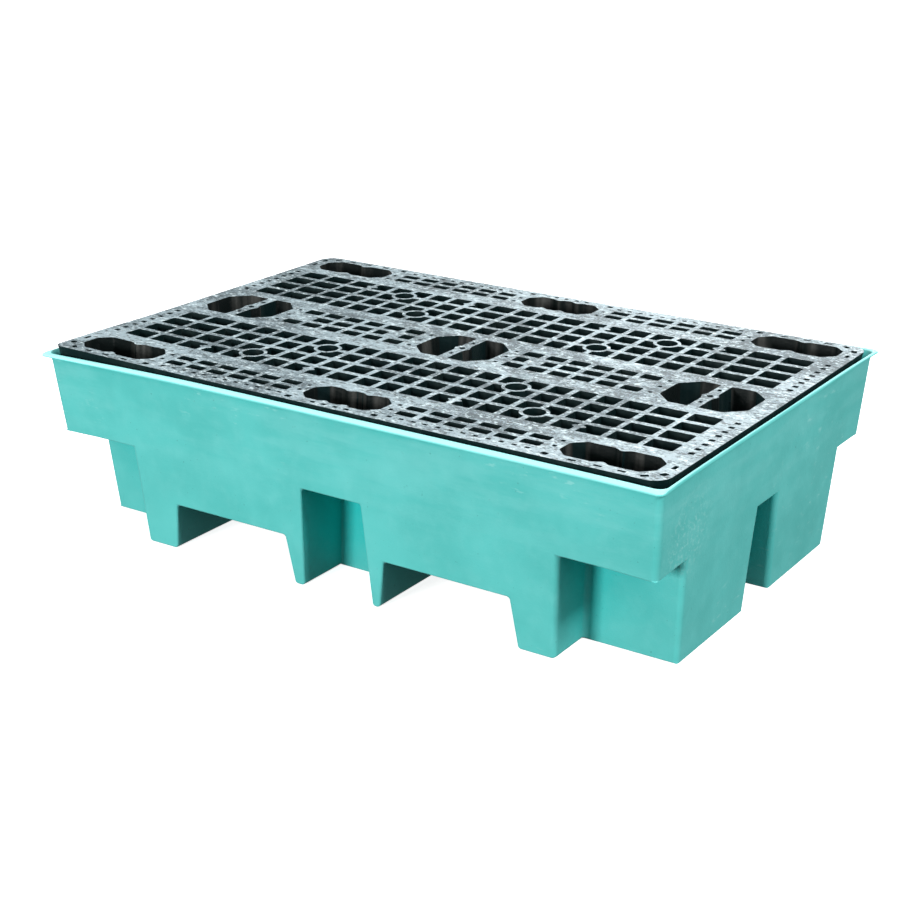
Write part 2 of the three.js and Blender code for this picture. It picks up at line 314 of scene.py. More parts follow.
def on_ring(point, wall, ring):
    """Where a point of the wall's outline lands on another ring.

    Both outlines are given as (half x, half y, corner radius).
    """
    (wall_x, wall_y, wall_r), (ring_x, ring_y, ring_r) = wall, ring
    past_x = abs(point.x) - (wall_x - wall_r)
    past_y = abs(point.y) - (wall_y - wall_r)
    if past_x > 0 and past_y > 0:
        turn = math.atan2(past_y, past_x)
        x = ring_x - ring_r * (1 - math.cos(turn))
        y = ring_y - ring_r * (1 - math.sin(turn))
    elif past_x > past_y:
        x = ring_x
        y = abs(point.y) * (ring_y - ring_r) / (wall_y - wall_r)
    else:
        x = abs(point.x) * (ring_x - ring_r) / (wall_x - wall_r)
        y = ring_y
    return math.copysign(x, point.x), math.copysign(y, point.y)


def rim_rings():
    """The rolled rim's section, from the outer wall over the lip to the inner wall.

    Each ring is its half sizes, its corner radius and its height.
    """
    out_x, out_y = RIM_X - WALL_X, RIM_Y - WALL_Y
    fillet = 1.6                    # the hollow between the wall and the lip
    under_round = 1.0               # the lip's lower edge
    top_round = 5.6                 # how far down the lip's large upper rounding reaches
    top_x, top_y = 3.2, 7.0         # how far in that rounding reaches
    inner_x, inner_y = 4.3, 3.5     # where the rim turns down inside
    inner_round = 2.5
    lip_r, inner_r = 18.0, 17.0     # the corners, seen from above, below the lip and inside
    rings = []

    def add(off_x, off_y, radius, z):
        """The offsets are outward from the wall's outer face, and z is from the rim's top."""
        rings.append((WALL_X + off_x, WALL_Y + off_y, radius, RIM_TOP + z))

    for i in range(FILLET_STEPS + 1):
        turn = math.radians(90 * i / FILLET_STEPS)
        spread = fillet * (1 - math.cos(turn))
        add(spread, spread, WALL_R + spread, -LIP - fillet + fillet * math.sin(turn))
    add(0.55 * out_x, 0.55 * out_y, lip_r, -LIP)
    for i in range(3):
        turn = math.radians(30 * (i - 3))
        back = under_round * (1 - math.cos(turn))
        add(out_x - back, out_y - back, RIM_R - back, -LIP + under_round * (1 + math.sin(turn)))
    for i in range(7):
        turn = math.radians(15 * i)
        back = 1 - math.cos(turn)
        add(out_x - top_x * back, out_y - top_y * back, RIM_R + 3 * back,
            -top_round * (1 - math.sin(turn)))
    for i in range(5):
        turn = math.radians(22.5 * i)
        reach = inner_round * math.sin(turn)
        add(inner_x - reach, inner_y - reach, inner_r, -inner_round * (1 - math.cos(turn)))
    return rings


def bow(point):
    """Bends the tray: its sides bow in, one end has sunk, and its faces are a little wavy."""
    x, y, z = point
    sink = (RIM_LOW + RIM_DIP * smoothstep(150, RIM_X, -x) ** 2) * smoothstep(150, 320, z)
    on_lip = max(abs(x) - WALL_X, abs(y) - WALL_Y) > 2
    if on_lip:
        sunk_end = smoothstep(0.6 * RIM_X, RIM_X, -x)
        far_corner = smoothstep(0.6 * RIM_X, RIM_X, x) * smoothstep(0.2 * RIM_Y, RIM_Y, y)
        z += LIP_THINNING * max(sunk_end, far_corner) * (RIM_TOP - z)
    overhang = smoothstep(500, 600, abs(x)) * smoothstep(340, 400, abs(y))
    sink += CORNER_DROOP * overhang * (1 - smoothstep(180, 280, z))
    rise = max(z, 0.0) / RIM_TOP
    across = 1 - min(abs(x) / WALL_X, 1.0) ** 6
    along = 1 - min(abs(y) / WALL_Y, 1.0) ** 6
    past = smoothstep(WALL_X - 1, RIM_X, abs(x))
    dy = SIDE_BOW * across * (abs(y) / WALL_Y) ** 4 * rise ** 1.5
    dx = END_BOW * past * along * rise ** 1.5
    wave = Vector((noise.noise(Vector((x, y, z)) * WAVE_SCALE),
                   noise.noise(Vector((z, x, y)) * WAVE_SCALE + Vector((9, 2, 5)))))
    wave *= WAVE * min(1.0, (RIM_X - abs(x)) / 3) * min(1.0, (RIM_Y - abs(y)) / 3)
    return Vector((x - math.copysign(dx, x) + wave.x, y - math.copysign(dy, y) + wave.y,
                   max(z - sink, 0.0)))


def build_tray():
    """The whole tray: its rounded skin given a thickness, and its rolled rim laid round the top."""
    body = rounded_tray()
    top = RIM_TOP - RIM_START
    work = bmesh.new()
    work.from_mesh(body.data)
    lid = [face for face in work.faces
           if all(abs(vertex.co.z - top) < 0.05 for vertex in face.verts)]
    bmesh.ops.delete(work, geom=lid, context="FACES")
    slice_grid(work, top)
    bmesh.ops.remove_doubles(work, verts=work.verts, dist=0.01)
    outer_count = len(work.verts)
    work.to_mesh(body.data)
    work.free()
    shell = body.modifiers.new("skin", "SOLIDIFY")
    shell.thickness, shell.offset = SKIN, -1
    shell.use_even_offset, shell.use_quality_normals, shell.use_rim = True, True, False
    bake_modifiers(body)
    body.data.materials.clear()

    work = bmesh.new()
    work.from_mesh(body.data)
    work.verts.ensure_lookup_table()
    start = next(v for v in work.verts if v.index < outer_count and v.is_boundary)
    outer = boundary_loop(work, start)
    inner = [work.verts[v.index + outer_count] for v in outer]
    half_x, half_y = wall_half(top)
    wall = (half_x, half_y, WALL_R)
    previous = outer
    for i, (*outline, z) in enumerate(rim_rings()):
        ring = [work.verts.new((*on_ring(v.co, wall, outline), z)) for v in outer]
        bridge(work, previous, ring, RIM_SLOT if i > FILLET_STEPS else WALL_SLOT)
        previous = ring
    bridge(work, previous, inner, WALL_SLOT)
    bmesh.ops.recalc_face_normals(work, faces=work.faces)
    for vertex in work.verts:
        vertex.co = bow(vertex.co) * MM
    work.to_mesh(body.data)
    work.free()
    return finish_piece(body, "tray_shell", 40)


def bridge(work, first, second, slot):
    """Joins two rings of vertices with faces of one material."""
    for i in range(len(first)):
        j = (i + 1) % len(first)
        work.faces.new((first[i], first[j], second[j], second[i])).material_index = slot


def finish_piece(made, name, sharp_angle):
    """Names a piece and gives it smooth shading, with its large faces kept flat."""
    made.name = name
    made.data.name = name
    made.data.polygons.foreach_set("use_smooth", [True] * len(made.data.polygons))
    made.data.set_sharp_from_angle(angle=math.radians(sharp_angle))
    weighted = made.modifiers.new("normals", "WEIGHTED_NORMAL")
    weighted.keep_sharp = True
    return made


# ---------- deck: outlines in plan ----------

def arc(cx, cy, radius, start, end, steps):
    """Points round an arc; the angles are in degrees."""
    turns = [math.radians(start + (end - start) * i / steps) for i in range(steps + 1)]
    return [(cx + radius * math.cos(turn), cy + radius * math.sin(turn)) for turn in turns]


def rounded_rectangle(cx, cy, half_x, half_y, radius, steps):
    x, y = half_x - radius, half_y - radius
    made = []
    for sx, sy, start in ((1, 1, 0), (-1, 1, 90), (-1, -1, 180), (1, -1, 270)):
        made += arc(cx + sx * x, cy + sy * y, radius, start, start + 90, steps)
    return made


def rounded_polygon(corners):
    """A counter-clockwise polygon with rounded corners; each corner is (x, y, radius)."""
    steps = 3
    made = []
    points = [Vector((x, y)) for x, y, _ in corners]
    for i, (*_, radius) in enumerate(corners):
        here, before, after = points[i], points[i - 1], points[(i + 1) % len(points)]
        back, ahead = (before - here), (after - here)
        half = back.angle(ahead) / 2
        reach = min(radius / math.tan(half), 0.49 * back.length, 0.49 * ahead.length)
        start, end = here + back.normalized() * reach, here + ahead.normalized() * reach
        for k in range(steps + 1):
            t = k / steps
            made.append(tuple((1 - t) ** 2 * start + 2 * t * (1 - t) * here + t * t * end))
    return made


def lobed_outline(half, cut, waists, waist, depth):
    """A long foot opening made of round lobes, with a waist on both sides between them.

    half is its half length and cut the size of its cut corners. A waist stands at each x of waists,
    and it reaches waist to either side and depth inward.
    """
    corners = [(half, CUP_HALF_Y - cut, 9), (half - cut, CUP_HALF_Y, 10)]
    for x in reversed(waists):
        corners += [(x + waist, CUP_HALF_Y, 14), (x, CUP_HALF_Y - depth, 8),
                    (x - waist, CUP_HALF_Y, 14)]
    corners += [(cut - half, CUP_HALF_Y, 10), (-half, CUP_HALF_Y - cut, 9)]
    corners += [(-x, -y, radius) for x, y, radius in corners]
    return rounded_polygon(corners)


def split_outline(half, side):
    """Half of a split foot opening, with the rib's diamond boss biting into its straight side."""
    half_y, cut, boss, bite = SPLIT_HALF_Y, 31.0, 14.0, 5.5
    corners = [(-half, -half_y, 4), (half - cut, -half_y, 10), (half, cut - half_y, 10),
               (half, half_y - cut, 10), (half - cut, half_y, 10), (-half, half_y, 4),
               (-half, boss, 4), (bite - half, 0, 3), (-half, -boss, 4)]
    outline = rounded_polygon(corners)
    return outline if side > 0 else [(-x, y) for x, y in reversed(outline)]


def foot_openings():
    """Each foot opening as its centre, its half sizes and its outline about that centre."""
    found = []
    corner_foot = lobed_outline(CORNER_HALF, 20.0, [0], 13, 9.5)
    middle_foot = lobed_outline(MIDDLE_HALF, 20.0, [-20, 20], 12, 7.5)
    for side_y in SIDES:
        for x in (-CUP_X, 0, CUP_X):
            half, outline = (CORNER_HALF, corner_foot) if x else (MIDDLE_HALF, middle_foot)
            found.append((x, side_y * CUP_Y, half, CUP_HALF_Y, outline))
    for rib in SPLIT_RIBS:
        reach = SPLIT_REACH if rib else CENTRE_REACH
        for side in SIDES:
            outward = (side * rib > 0) - (side * rib < 0)
            far = reach + END_SHIFT * outward
            half = (far - SPLIT_RIB) / 2
            outline = split_outline(half, side)
            found.append((rib + side * (SPLIT_RIB + half), 0, half, SPLIT_HALF_Y, outline))
    return found


def grid_holes():
    """The plate's large rectangular openings, as centre and half sizes."""
    found = []
    bands = [(COLUMNS, GRID_ROWS), (STRIP_COLUMNS, EDGE_ROWS), (STRIP_COLUMNS, STRIP_ROWS[1:])]
    for columns, rows in bands:
        for x, half_x in columns:
            for y, half_y in rows:
                found += [(sx * x, sy * y, half_x, half_y) for sx in SIDES for sy in SIDES]
    for x, half_x in STRIP_COLUMNS[:-1]:
        near = abs(x - GATE_XS[0]) < 30
        shift = math.copysign(half_x - SHORT_STRIP_HALF, x - GATE_XS[0]) if near else 0
        half = SHORT_STRIP_HALF if near else half_x
        found += [(sx * (x + shift), 0, half, STRIP_ROWS[0][1]) for sx in SIDES]
    return found


def drain_holes():
    """The small drain holes of the plate's bands, as centre, half sizes and turn in degrees."""
    found = []

    def four(x, y, half_x, half_y, turn=0):
        """A hole and its mirror images."""
        for sx in SIDES:
            for sy in SIDES:
                found.append((sx * x, sy * y, half_x, half_y, sx * sy * turn))

    for x, ys in ((392.5, (321.5, 348)), (91.5, (321.5, 348)), (391, (35.5,)), (91, (35.5,))):
        for y in ys:
            four(x, y, PIN_DRAIN, PIN_DRAIN)
    for x in range(110, 370, 23):
        four(x, 378, 4.6, 3)
    for x in (445, 488, 528):
        four(x, 388, 7, 3)
    for x in (11, 33):
        four(x + 0.5, 388, 4.5, 3.6)
    for x in (397, 86):
        four(x, 385.5, 6, 5.2)
    four(564, 386, 6.5, 4, -35)
    four(585.5, 366, 5.2, 6.5, 20)
    four(585.5, 332, 3.6, 7.5)
    for y in (101.5, 124, 148.5, 171, 194.5, 217.5, 242.5, 264):
        four(578, y, 5.2, 4.8)
    for sx in SIDES:
        found.append((sx * 391, 0, PIN_DRAIN, PIN_DRAIN, 0))
        found.append((sx * 91, 0, PIN_DRAIN, PIN_DRAIN, 0))
    for rib in SPLIT_RIBS:
        found.append((rib, 0, 5.2, 5.2, 45))
        for sy in SIDES:
            found.append((rib, sy * 36, 3.4, 4.6, 0))
    return found


def turned_rectangle(x, y, half_x, half_y, turn):
    outline = rounded_rectangle(0, 0, half_x, half_y, min(half_x, half_y) * 0.45, 2)
    c, s = math.cos(math.radians(turn)), math.sin(math.radians(turn))
    return [(x + c * px - s * py, y + s * px + c * py) for px, py in outline]


def gate_pads():
    """Lumpy pads where the plastic entered the mould, as outlines."""
    draw = random.Random(11)
    places = [(sx * x, sy * y) for x in GATE_XS for y in GATE_YS
              for sx in SIDES for sy in (SIDES if y else (1,))]
    found = []
    for x, y in places:
        outline = []
        for i in range(12):
            turn = math.radians(30 * i)
            reach = 1 + 0.14 * math.cos(4 * turn) + draw.uniform(-0.07, 0.07)
            outline.append((x + PAD_X * reach * math.cos(turn), y + PAD_Y * reach * math.sin(turn)))
        found.append(outline)
    return found


def pockets():
    """Pockets that hollow out the plate's solid bands from below, as (x0, x1, y0, y1)."""
    found = []
    for sx in SIDES:
        for sy in SIDES:
            for near, far in BANDS:
                for i in range(0, len(COLUMNS) - 1, 2):
                    plan = (COLUMNS[i][0] - COLUMNS[i][1], sum(COLUMNS[i + 1]), near, far)
                    found.append(mirrored(plan, sx, sy))
            near_x, far_x, rows = END_BAND
            found += [mirrored((near_x, far_x, y0, y1), sx, sy) for y0, y1 in rows]
    return found


# ---------- deck: solid ----------

def inside(point, outline):
    """Whether a point lies inside a closed outline."""
    x, y = point
    hit = False
    for (x0, y0), (x1, y1) in zip(outline, outline[1:] + outline[:1]):
        if (y0 > y) != (y1 > y) and x < (x1 - x0) * (y - y0) / (y1 - y0) + x0:
            hit = not hit
    return hit


class Region:
    """Outlines in plan, kept in square cells so that a point is looked up quickly."""

    CELL = 50

    def __init__(self, outlines):
        self.cells = {}
        for outline in outlines:
            xs, ys = zip(*outline)
            entry = (min(xs), max(xs), min(ys), max(ys), outline)
            for i in range(self.cell(min(xs)), self.cell(max(xs)) + 1):
                for j in range(self.cell(min(ys)), self.cell(max(ys)) + 1):
                    self.cells.setdefault((i, j), []).append(entry)

    def cell(self, along):
        return int(along // self.CELL)

    def holds(self, point):
        x, y = point
        for x0, x1, y0, y1, outline in self.cells.get((self.cell(x), self.cell(y)), ()):
            if x0 < x < x1 and y0 < y < y1 and inside(point, outline):
                return True
        return False


def grown(cup, amount):
    """A foot opening's outline, scaled out all round by an amount."""
    x, y, half_x, half_y, outline = cup
    return [(x + px * (1 + amount / half_x), y + py * (1 + amount / half_y)) for px, py in outline]


def plate_edge():
    """The plate's outer outline, with points along its straight sides; one corner is sharper."""
    square = [(DECK_X, DECK_Y), (-DECK_X, DECK_Y), (-DECK_X, -DECK_Y), (DECK_X, -DECK_Y)]
    corners = []
    for (x, y), radius, start in zip(square, (DECK_R, DECK_R, SHARP_R, DECK_R), (0, 90, 180, 270)):
        cx, cy = x - math.copysign(radius, x), y - math.copysign(radius, y)
        corners += arc(cx, cy, radius, start, start + 90, 8)
    made = []
    for a, b in zip(corners, corners[1:] + corners[:1]):
        steps = max(1, round(math.dist(a, b) / 40))
        made += [tuple(Vector(a).lerp(Vector(b), i / steps)) for i in range(steps)]
    return made


def deck_plans(cups):
    """The outlines in plan of all that is cut into the plate or raised on it, by kind."""
    rings = [(sx * x, sy * y) for x, y in RINGS for sx in SIDES for sy in SIDES]
    pocket_plans = [((x0 + x1) / 2, (y0 + y1) / 2, (x1 - x0) / 2, (y1 - y0) / 2)
                    for x0, x1, y0, y1 in pockets()]
    return {
        "hole": [rounded_rectangle(*plan, HOLE_R, 2) for plan in grid_holes()],
        "drain": [turned_rectangle(*plan) for plan in drain_holes()],
        "pad": gate_pads(),
        "ring": [arc(x, y, RING_OUT, 0, 360, 32)[:-1] for x, y in rings],
        "bore": [arc(x, y, RING_IN, 0, 360, 32)[:-1] for x, y in rings],
        "cup": [grown(cup, 0) for cup in cups],
        "foot": [grown(cup, CUP_WALL) for cup in cups],
        "pocket": [rounded_rectangle(*plan, 2, 1) for plan in pocket_plans],
    }


def triangulated(outlines):
    """The plan's points and triangles, which follow every outline."""
    points, links = [], []
    for outline in outlines:
        first = len(points)
        points += [Vector(point) for point in outline]
        links += [(first + i, first + (i + 1) % len(outline)) for i in range(len(outline))]
    for i in range(-12, 13):
        for j in range(-8, 9):
            points.append(Vector((i * FILL_PITCH + 0.31, j * FILL_PITCH + 0.17)))
    plan_points, _, triangles, *_ = delaunay_2d_cdt(points, links, [], 0, 0.02)
    return plan_points, triangles


def filled(regions, point):
    """Which of the four layers are plastic at a point of the plan, from the feet up."""
    at = {name: region.holds(point) for name, region in regions.items()}
    if at["cup"]:
        return (True, False, False, False)
    wall = at["foot"]
    raised = at["pad"] or (at["ring"] and not at["bore"])
    open_here = (at["hole"] and not raised) or at["bore"] or at["drain"]
    skin = not open_here
    rib = skin and not at["pocket"] or wall
    return (wall, wall, rib, skin or wall)


def plan_key(x, y):
    """Names a point of the plan, so that it is known again after the triangulation."""
    return round(x, 1), round(y, 1)


def sag(point):
    """Lets the plate hang in its middle and curls up one corner; the feet stay where they are."""
    x, y, z = point
    hang = SAG_X * (1 - (x / DECK_X) ** 2) + SAG_Y * (1 - (y / DECK_Y) ** 2)
    hang -= LIFT * smoothstep(0.72, 0.98, -x / DECK_X) * smoothstep(0.3, 0.8, -y / DECK_Y)
    return Vector((x, y, z - hang * smoothstep(FOOT_Z, DECK_TOP - PLATE_H, z)))


def build_deck():
    """The deck, built as four layers on one triangulated plan, from the feet up to the skin."""
    cups = foot_openings()
    edge = plate_edge()
    plans = deck_plans(cups)
    outlines = [edge] + [outline for found in plans.values() for outline in found]
    plan_points, triangles = triangulated(outlines)
    regions = {name: Region(found) for name, found in plans.items()}
    levels = [FOOT_Z, FOOT_Z + CUP_FLOOR, DECK_TOP - PLATE_H, DECK_TOP - DECK_SKIN, DECK_TOP]
    cup_at = {plan_key(*point): cup for cup in cups for amount in (0, CUP_WALL)
              for point in grown(cup, amount)}
    edge_keys = {plan_key(*point) for point in edge}
    in_cup = {plan_key(*point) for outline in plans["cup"] for point in outline}
    work = bmesh.new()
    made = {}

    def vertex(index, level):
        """The vertex over a point of the plan at a level; the feet and the plate's edge lean in."""
        if (index, level) not in made:
            x, y = plan_points[index]
            z = levels[level]
            key = plan_key(x, y)
            down = DECK_TOP - z
            if key in cup_at:
                cx, cy, half_x, half_y, _ = cup_at[key]
                shrink = CUP_LEAN * down / (DECK_TOP - FOOT_Z)
                x, y = cx + (x - cx) * (1 - shrink / half_x), cy + (y - cy) * (1 - shrink / half_y)
            elif key in edge_keys:
                inset = PLATE_LEAN * down / PLATE_H
                x, y = x - math.copysign(inset, x), y - math.copysign(inset, y)
            made[index, level] = work.verts.new((x, y, z))
        return made[index, level]

    walls = {}    # a dict, because it keeps its order
    for triangle in triangles:
        middle = sum((plan_points[i] for i in triangle), Vector((0, 0))) / 3
        solid = filled(regions, middle)
        for layer in range(4):
            if not solid[layer]:
                continue
            if layer == 3 or not solid[layer + 1]:
                work.faces.new([vertex(i, layer + 1) for i in triangle])
            if layer == 0 or not solid[layer - 1]:
                work.faces.new([vertex(i, layer) for i in reversed(triangle)])
            for a, b in zip(triangle, triangle[1:] + triangle[:1]):
                if (layer, b, a) in walls:
                    del walls[layer, b, a]
                else:
                    walls[layer, a, b] = True
    for layer, a, b in walls:
        face = work.faces.new((vertex(a, layer), vertex(b, layer),
                               vertex(b, layer + 1), vertex(a, layer + 1)))
        if all(plan_key(*plan_points[i]) in in_cup for i in (a, b)):
            face.material_index = FOOT_SLOT
    round_top_edges(work, edge_keys)
    for v in work.verts:
        v.co = (sag(v.co) + DECK_SHIFT) * MM
    return finish_piece(object_from("deck", work), "deck_plate", 35)


def round_top_edges(work, edge_keys):
    """Rounds the plate's top edges, more round the outside than at its openings."""
    outside, openings = [], []
    for edge in work.edges:
        a, b = edge.verts
        if a.co.z < DECK_TOP - 0.01 or b.co.z < DECK_TOP - 0.01:
            continue
        if edge.calc_face_angle(0.0) < math.radians(40):
            continue
        (outside if plan_key(a.co.x, a.co.y) in edge_keys else openings).append(edge)
    for edges, radius, segments in ((openings, 0.8, 2), (outside, 2.2, 3)):
        bmesh.ops.bevel(work, geom=[edge for edge in edges if edge.is_valid], offset=radius,
                        offset_type="OFFSET", segments=segments, profile=0.5,
                        affect="EDGES", clamp_overlap=False)


# ---------- materials ----------

RUB_MARK = (0.60, -0.30, 0.225)          # a rubbed patch on the short side, in metres
PALE_SCUFF = (0.42, 0.78, 0.75, 1)
DARK_SPECK = (0.04, 0.22, 0.20, 1)
RECESS_SHADE_TINT = (0.0, 0.50, 0.48, 1)         # painted shade: the colour the walls turn to in recesses
DECK_DULL = (0.062, 0.094, 0.108, 1)
# The top's two paler colours below are partly dirt and wear, partly painted sheen and glints.
DECK_DUST_AND_SHEEN = (0.31, 0.41, 0.45, 1)
DECK_CHIP_AND_GLINT = (0.62, 0.74, 0.77, 1)
DECK_PIT = (0.030, 0.045, 0.050, 1)


class Nodes:
    """A short way to build a material's nodes; its methods return sockets."""

    def __init__(self, name):
        self.material = bpy.data.materials.new(name)
        self.material.use_nodes = True
        self.tree = self.material.node_tree
        self.shader = self.tree.nodes["Principled BSDF"]
        self.place = self.add("ShaderNodeTexCoord").outputs["Object"]

    def add(self, kind, inputs=(), **settings):
        made = self.tree.nodes.new(kind)
        for name, value in settings.items():
            setattr(made, name, value)
        for name, value in dict(inputs).items():
            self.give(made.inputs[name], value)
        return made

    def give(self, socket, value):
        if isinstance(value, bpy.types.NodeSocket):
            self.tree.links.new(value, socket)
        else:
            socket.default_value = value

    def noise(self, scale, detail=3.0, roughness=0.5, stretch=(1, 1, 1), offset=(0, 0, 0)):
        place = self.place
        if stretch != (1, 1, 1) or offset != (0, 0, 0):
            inputs = {"Vector": place, "Scale": stretch, "Location": offset}
            place = self.add("ShaderNodeMapping", inputs).outputs["Vector"]
        made = self.add("ShaderNodeTexNoise",
                        {"Vector": place, "Scale": scale, "Detail": detail, "Roughness": roughness})
        return made.outputs["Fac"]

    def band(self, value, low, high, to_low=0.0, to_high=1.0):
        """Maps low..high of a value smoothly to to_low..to_high."""
        made = self.add("ShaderNodeMapRange", {"Value": value, "From Min": low, "From Max": high,
                                               "To Min": to_low, "To Max": to_high})
        made.interpolation_type = "SMOOTHSTEP"
        return made.outputs["Result"]

    def math(self, operation, first, second):
        made = self.add("ShaderNodeMath", operation=operation)
        self.give(made.inputs[0], first)
        self.give(made.inputs[1], second)
        return made.outputs[0]

    def mix(self, factor, first, second):
        made = self.add("ShaderNodeMix", data_type="RGBA")
        self.give(made.inputs["Factor"], factor)
        colours = [socket for socket in made.inputs if socket.type == "RGBA"]
        self.give(colours[0], first)
        self.give(colours[1], second)
        return next(socket for socket in made.outputs if socket.type == "RGBA")

    def bump(self, height, distance, strength=1.0, normal=None):
        inputs = {"Height": height, "Distance": distance, "Strength": strength}
        if normal:
            inputs["Normal"] = normal
        return self.add("ShaderNodeBump", inputs).outputs["Normal"]

    def upward(self, low=0.55, high=0.9):
        """1 on faces that look up, 0 on walls."""
        normal = self.add("ShaderNodeTexCoord").outputs["Normal"]
        z = self.add("ShaderNodeSeparateXYZ", {"Vector": normal}).outputs["Z"]
        return self.band(z, low, high)


def tray_material(name, dark, light, bloom, painted_top_light=None):
    """Satin rotomoulded polyethylene: a faint orange peel, cloudy colour, pale scuffs and specks.

    dark, light and bloom are the ends of its cloudy colour and its palest mottling. With a top
    colour given, faces that look up turn to that colour, a painted highlight.
    Without it, recesses get painted shade: they are deeper in colour and duller.
    """
    made = Nodes(name)
    shader = made.shader.inputs
    cloud = made.noise(7.0, 4.0, 0.55)
    colour = made.mix(made.band(cloud, 0.3, 0.7), dark, light)
    height = made.add("ShaderNodeSeparateXYZ", {"Vector": made.place}).outputs["Z"]
    streak = made.noise(5.0, 4.0, 0.6, stretch=(1.0, 1.0, 6.0), offset=(0.4, 1.3, 0.2))
    higher = made.band(height, 0.10, 0.33, 0.1, 0.8)
    faded = made.math("MULTIPLY", higher, made.band(streak, 0.40, 0.66))
    colour = made.mix(made.math("MULTIPLY", faded, 0.5), colour, bloom)
    mottle = made.noise(38.0, 3.0, 0.6)
    colour = made.mix(made.band(mottle, 0.45, 0.75, 0, 0.14), colour, bloom)
    scratch = made.noise(24.0, 5.0, 0.62, stretch=(1.4, 1.4, 5.0))
    patch = made.noise(3.1, 2.0, 0.5, offset=(4.1, 2.2, 0.7))
    scuff = made.math("MULTIPLY", made.band(scratch, 0.60, 0.70), made.band(patch, 0.52, 0.62))
    rub = made.add("ShaderNodeVectorMath", operation="DISTANCE")
    made.give(rub.inputs[0], made.place)
    made.give(rub.inputs[1], RUB_MARK)
    rubbed = made.band(rub.outputs["Value"], 0.03, 0.10, 1.0, 0.0)
    crumbs = made.band(made.noise(150.0, 4.0, 0.7), 0.52, 0.62)
    scuff = made.math("MAXIMUM", scuff, made.math("MULTIPLY", rubbed, crumbs))
    colour = made.mix(made.math("MULTIPLY", scuff, 0.35), colour, PALE_SCUFF)
    speck = made.noise(210.0, 1.0, 0.5)
    colour = made.mix(made.band(speck, 0.76, 0.80, 0, 0.5), colour, DARK_SPECK)
    # Painted highlight: faces that look up turn to the given paler top colour.
    if painted_top_light:
        colour = made.mix(made.upward(0.22, 0.62), colour, painted_top_light)
    else:
        # Painted shade: an ambient occlusion mask turns recesses a deeper teal and takes away their
        # sheen and specular.
        open_to = made.add("ShaderNodeAmbientOcclusion", {"Distance": 0.16},
                           samples=6, only_local=True)
        shade = made.band(open_to.outputs["AO"], 0.25, 0.95, 0.9, 0.0)
        colour = made.mix(shade, colour, RECESS_SHADE_TINT)
        made.give(shader["Sheen Weight"], made.band(shade, 0.0, 0.7, 0.12, 0.0))
        made.give(shader["Specular IOR Level"], made.band(shade, 0.0, 0.7, 0.5, 0.05))
    made.give(shader["Base Color"], colour)
    satin = made.band(mottle, 0.3, 0.7, 0.44, 0.54)
    made.give(shader["Roughness"], made.math("ADD", satin, made.math("MULTIPLY", scuff, 0.2)))
    made.give(shader["Sheen Roughness"], 0.5)
    peel = made.bump(made.noise(260.0, 2.0, 0.5), 0.0006, 0.35)
    dents = made.noise(22.0, 2.0, 0.5)
    made.give(shader["Normal"], made.bump(dents, 0.002, 0.25, peel))
    return made.material


def wall_material():
    """The walls, deeper in colour than the rim."""
    dark, light, bloom = (0.082, 0.505, 0.475, 1), (0.108, 0.580, 0.550, 1), (0.19, 0.64, 0.62, 1)
    return tray_material("tray_polyethylene", dark, light, bloom)


def rim_material():
    """The rim is painted paler than the walls, most of all on top, as a painted highlight where the
    light catches it.
    """
    dark, light, bloom = (0.10, 0.56, 0.53, 1), (0.13, 0.62, 0.59, 1), (0.19, 0.66, 0.64, 1)
    return tray_material("rim_polyethylene", dark, light, bloom, (0.36, 0.88, 0.86, 1))


def deck_material(name, wall_dark, wall_drawn):
    """Black moulded plastic, its top whitened in patches and specks, partly trodden dirt and wear
    and partly painted sheen and glints.

    Its walls run from wall_dark to wall_drawn in upright draw marks.
    """
    made = Nodes(name)
    shader = made.shader.inputs
    up = made.upward()
    patch = made.noise(5.5, 3.0, 0.55, stretch=(0.6, 1.0, 1.0))
    blotch = made.noise(42.0, 6.0, 0.7, stretch=(0.55, 1.0, 1.0))
    fine = made.noise(190.0, 4.0, 0.7)
    # Paler patches and flecks on the top: partly dirt and wear, partly painted sheen and glints.
    wear_and_sheen = made.math("ADD", made.math("MULTIPLY", blotch, 0.5), made.math("MULTIPLY", fine, 0.5))
    wear_and_sheen = made.math("ADD", wear_and_sheen, made.band(patch, 0.3, 0.7, -0.06, 0.08))
    dust_and_sheen = made.band(wear_and_sheen, 0.43, 0.58)
    top = made.mix(dust_and_sheen, DECK_DULL, DECK_DUST_AND_SHEEN)
    chips_and_glints = made.noise(150.0, 3.0, 0.65, stretch=(0.6, 1.0, 1.0), offset=(1.7, 0.3, 0.9))
    top = made.mix(made.band(chips_and_glints, 0.54, 0.64, 0, 0.9), top, DECK_CHIP_AND_GLINT)
    pits = made.noise(130.0, 3.0, 0.65, stretch=(0.6, 1.0, 1.0), offset=(0.2, 2.6, 0.5))
    top = made.mix(made.band(pits, 0.55, 0.64, 0, 0.9), top, DECK_PIT)
    draw = made.noise(34.0, 3.0, 0.55, stretch=(1.0, 1.0, 0.04))
    wall = made.mix(made.band(draw, 0.44, 0.72), wall_dark, wall_drawn)
    made.give(shader["Base Color"], made.mix(up, wall, top))
    made.give(shader["Roughness"], made.band(wear_and_sheen, 0.3, 0.7, 0.54, 0.34))
    made.give(shader["Specular IOR Level"], made.band(up, 0.0, 1.0, 0.12, 0.5))
    grain = made.bump(fine, 0.0012, 0.6)
    made.give(shader["Normal"], made.bump(blotch, 0.004, 0.45, grain))
    return made.material


